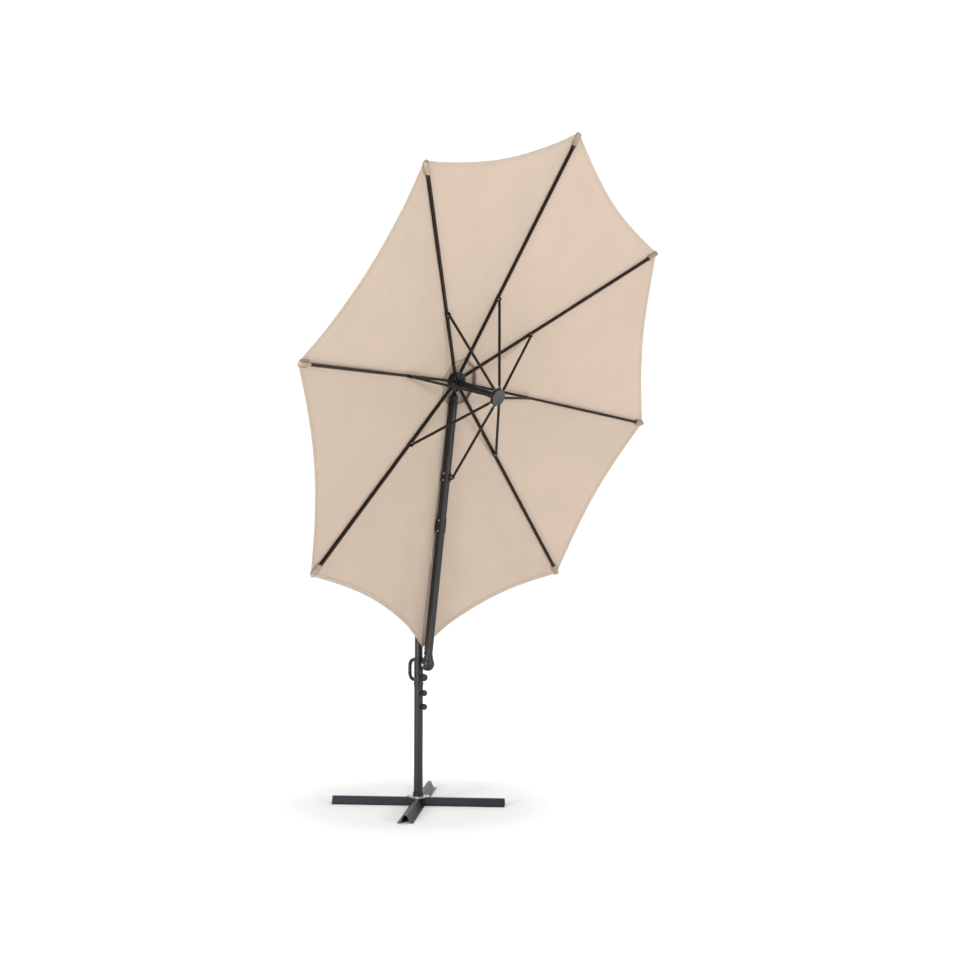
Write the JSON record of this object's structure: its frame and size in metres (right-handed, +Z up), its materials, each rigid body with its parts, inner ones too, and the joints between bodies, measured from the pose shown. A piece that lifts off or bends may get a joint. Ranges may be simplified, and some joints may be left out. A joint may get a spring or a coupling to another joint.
{
  "type": "cantilever parasol",
  "caption": "Cantilever parasol: cross base, turning mast, sliding handle that tilts a side arm, and an eight-sided canopy that folds on ribs and struts.",
  "frame": {"origin": "the mast's axis on the ground, under the middle of the cross base", "axes": "+Z up along the mast; +X and +Y along the legs of the cross; the arm leans towards -34.6 degrees from +X"},
  "size_m": [1.8598, 2.3729, 3.5685],
  "materials": {
    "base_paint": "satin",
    "frame_paint": "satin",
    "rib_paint": "satin",
    "plate": "satin",
    "steel": "satin",
    "nylon": "matte",
    "cloth": "matte"
  },
  "bodies": {
    "base": {"base_bar_lower": "base_paint", "base_bar_upper": "base_paint", "base_flange": "plate", "base_bolt_1": "steel", "base_bolt_2": "steel", "base_bolt_3": "steel", "base_bolt_4": "steel", "mast_lower_tube": "frame_paint", "mast_collar": "nylon"},
    "clamp_knob_upper": {"clamp_knob_1": "nylon"},
    "clamp_knob_lower": {"clamp_knob_2": "nylon"},
    "mast": {"mast_upper_tube": "frame_paint", "mast_top_plug": "nylon", "stay_pin_mast": "steel"},
    "stay": {"stay_link_left": "frame_paint", "stay_link_right": "frame_paint"},
    "slider": {"slider_sleeve": "nylon", "slider_grip": "nylon"},
    "slider_clamp": {"slider_knob": "nylon"},
    "arm": {"arm_casting": "nylon", "arm_pivot_pin": "steel", "arm_tube": "frame_paint", "arm_strut_bracket": "nylon", "arm_stay_bracket": "nylon", "arm_head": "nylon", "stay_pin_arm": "steel", "canopy_section_6": "cloth"},
    "hub": {"canopy_hub": "nylon", "hub_cap": "nylon", "hub_hinge_pin": "steel", "vent_cap": "cloth"},
    "runner": {"centre_tube": "frame_paint", "runner_ring": "nylon", "runner_cap": "nylon"},
    "rib_body_1": {"rib_1": "rib_paint", "canopy_section_1": "cloth"},
    "rib_body_2": {"rib_2": "rib_paint", "canopy_section_2": "cloth"},
    "rib_body_3": {"rib_3": "rib_paint", "canopy_section_3": "cloth"},
    "rib_body_4": {"rib_4": "rib_paint", "canopy_section_4": "cloth"},
    "rib_body_5": {"rib_5": "rib_paint", "canopy_section_5": "cloth"},
    "rib_body_7": {"rib_7": "rib_paint", "canopy_section_7": "cloth"},
    "rib_body_8": {"rib_8": "rib_paint", "canopy_section_8": "cloth"},
    "strut_body_1": {"strut_1": "rib_paint"},
    "strut_body_2": {"strut_2": "rib_paint"},
    "strut_body_3": {"strut_3": "rib_paint"},
    "strut_body_4": {"strut_4": "rib_paint"},
    "strut_body_5": {"strut_5": "rib_paint"},
    "strut_body_6": {"strut_6": "rib_paint"},
    "strut_body_7": {"strut_7": "rib_paint"},
    "strut_body_8": {"strut_8": "rib_paint"}
  },
  "joints": [
    {"name": "mast_rotation", "type": "hinge", "parent": "base", "child": "mast", "pos_m": [0, 0, 0.65], "axis": [0, 0, 1], "continuous": true},
    {"name": "clamp_knob_upper_turn", "type": "hinge", "parent": "base", "child": "clamp_knob_upper", "pos_m": [0.03704, -0.02556, 0.616], "axis": [0.823, -0.568, 0], "range_deg": [0, 630]},
    {"name": "clamp_knob_lower_turn", "type": "hinge", "parent": "base", "child": "clamp_knob_lower", "pos_m": [0.03704, -0.02556, 0.54], "axis": [0.823, -0.568, 0], "range_deg": [0, 630]},
    {"name": "slider_slide", "type": "slide", "parent": "mast", "child": "slider", "axis": [0, 0, 1], "range_m": [0, 1.09995]},
    {"name": "slider_knob_turn", "type": "hinge", "parent": "slider", "child": "slider_clamp", "pos_m": [0.03704, -0.02556, 0.702], "axis": [0.823, -0.568, 0], "range_deg": [0, 630]},
    {"name": "arm_tilt", "type": "hinge", "parent": "slider", "child": "arm", "pos_m": [0.05259, -0.03629, 0.7756], "axis": [0.568, 0.823, 0], "range_deg": [0, 68.73]},
    {"name": "stay_swing", "type": "hinge", "parent": "mast", "child": "stay", "pos_m": [0, 0, 2.4], "axis": [-0.568, -0.823, 0], "range_deg": [0, 65.56]},
    {"name": "canopy_fold", "type": "hinge", "parent": "arm", "child": "hub", "pos_m": [0.21769, -0.15023, 2.30506], "axis": [0.568, 0.823, 0], "range_deg": [0, 71.29], "deforming": ["canopy_section_1", "canopy_section_2", "canopy_section_3", "canopy_section_4", "canopy_section_5", "canopy_section_6", "canopy_section_7", "canopy_section_8", "vent_cap"]},
    {"name": "runner_slide", "type": "slide", "parent": "hub", "child": "runner", "axis": [0.7669, -0.5293, -0.3629], "range_m": [0, 0.66527]},
    {"name": "rib_1_fold", "type": "hinge", "parent": "hub", "child": "rib_body_1", "pos_m": [0.22504, -0.1828, 2.36808], "axis": [0.6128, 0.4362, 0.6589], "range_deg": [0, 71.3]},
    {"name": "strut_1_fold", "type": "hinge", "parent": "rib_body_1", "child": "strut_body_1", "pos_m": [0.23614, -0.59367, 2.62977], "axis": [0.6128, 0.4362, 0.6589], "range_deg": [-139.21, 0]},
    {"name": "rib_2_fold", "type": "hinge", "parent": "hub", "child": "rib_body_2", "pos_m": [0.24069, -0.16611, 2.37682], "axis": [0.568, 0.823, 0], "range_deg": [0, 71.3]},
    {"name": "strut_2_fold", "type": "hinge", "parent": "rib_body_2", "child": "strut_body_2", "pos_m": [0.48135, -0.33218, 2.7666], "axis": [0.568, 0.823, 0], "range_deg": [-139.21, 0]},
    {"name": "rib_3_fold", "type": "hinge", "parent": "hub", "child": "rib_body_3", "pos_m": [0.25075, -0.14555, 2.36808], "axis": [0.1904, 0.7277, -0.6589], "range_deg": [0, 71.3]},
    {"name": "strut_3_fold", "type": "hinge", "parent": "rib_body_3", "child": "strut_body_3", "pos_m": [0.63883, -0.01016, 2.62977], "axis": [0.1904, 0.7277, -0.6589], "range_deg": [-139.21, 0]},
    {"name": "rib_4_fold", "type": "hinge", "parent": "hub", "child": "rib_body_4", "pos_m": [0.24931, -0.13317, 2.347], "axis": [-0.2987, 0.2061, -0.9318], "range_deg": [0, 71.3]},
    {"name": "strut_4_fold", "type": "hinge", "parent": "rib_body_4", "child": "strut_body_4", "pos_m": [0.61635, 0.18377, 2.29946], "axis": [-0.2987, 0.2061, -0.9318], "range_deg": [-139.21, 0]},
    {"name": "rib_5_fold", "type": "hinge", "parent": "hub", "child": "rib_body_5", "pos_m": [0.23723, -0.13622, 2.32591], "axis": [-0.6128, -0.4362, -0.6589], "range_deg": [0, 71.3]},
    {"name": "strut_5_fold", "type": "hinge", "parent": "rib_body_5", "child": "strut_body_5", "pos_m": [0.42706, 0.13599, 1.96914], "axis": [-0.6128, -0.4362, -0.6589], "range_deg": [-139.21, 0]},
    {"name": "strut_6_fold", "type": "hinge", "parent": "arm", "child": "strut_body_6", "pos_m": [0.20615, -0.14227, 1.81367], "axis": [-0.568, -0.823, 0], "range_deg": [-145.88, 0]},
    {"name": "rib_7_fold", "type": "hinge", "parent": "hub", "child": "rib_body_7", "pos_m": [0.21152, -0.17347, 2.32591], "axis": [-0.1904, -0.7277, 0.6589], "range_deg": [0, 71.3]},
    {"name": "strut_7_fold", "type": "hinge", "parent": "rib_body_7", "child": "strut_body_7", "pos_m": [0.02437, -0.44753, 1.96914], "axis": [-0.1904, -0.7277, 0.6589], "range_deg": [-139.21, 0]},
    {"name": "rib_8_fold", "type": "hinge", "parent": "hub", "child": "rib_body_8", "pos_m": [0.21296, -0.18585, 2.347], "axis": [0.2987, -0.2061, 0.9318], "range_deg": [0, 71.3]},
    {"name": "strut_8_fold", "type": "hinge", "parent": "rib_body_8", "child": "strut_body_8", "pos_m": [0.04685, -0.64145, 2.29946], "axis": [0.2987, -0.2061, 0.9318], "range_deg": [-139.21, 0]}
  ],
  "couplings": [
    {"joint": "arm_tilt", "follows": "slider_slide", "rad_per_m": 1.0904},
    {"joint": "stay_swing", "follows": "slider_slide", "rad_per_m": 1.04},
    {"joint": "runner_slide", "follows": "canopy_fold", "m_per_rad": 0.53463},
    {"joint": "rib_1_fold", "follows": "canopy_fold", "ratio": 1},
    {"joint": "strut_1_fold", "follows": "canopy_fold", "ratio": -1.9526},
    {"joint": "rib_2_fold", "follows": "canopy_fold", "ratio": 1},
    {"joint": "strut_2_fold", "follows": "canopy_fold", "ratio": -1.9526},
    {"joint": "rib_3_fold", "follows": "canopy_fold", "ratio": 1},
    {"joint": "strut_3_fold", "follows": "canopy_fold", "ratio": -1.9526},
    {"joint": "rib_4_fold", "follows": "canopy_fold", "ratio": 1},
    {"joint": "strut_4_fold", "follows": "canopy_fold", "ratio": -1.9526},
    {"joint": "rib_5_fold", "follows": "canopy_fold", "ratio": 1},
    {"joint": "strut_5_fold", "follows": "canopy_fold", "ratio": -1.9526},
    {"joint": "strut_6_fold", "follows": "canopy_fold", "ratio": -2.0463},
    {"joint": "rib_7_fold", "follows": "canopy_fold", "ratio": 1},
    {"joint": "strut_7_fold", "follows": "canopy_fold", "ratio": -1.9526},
    {"joint": "rib_8_fold", "follows": "canopy_fold", "ratio": 1},
    {"joint": "strut_8_fold", "follows": "canopy_fold", "ratio": -1.9526}
  ]
}
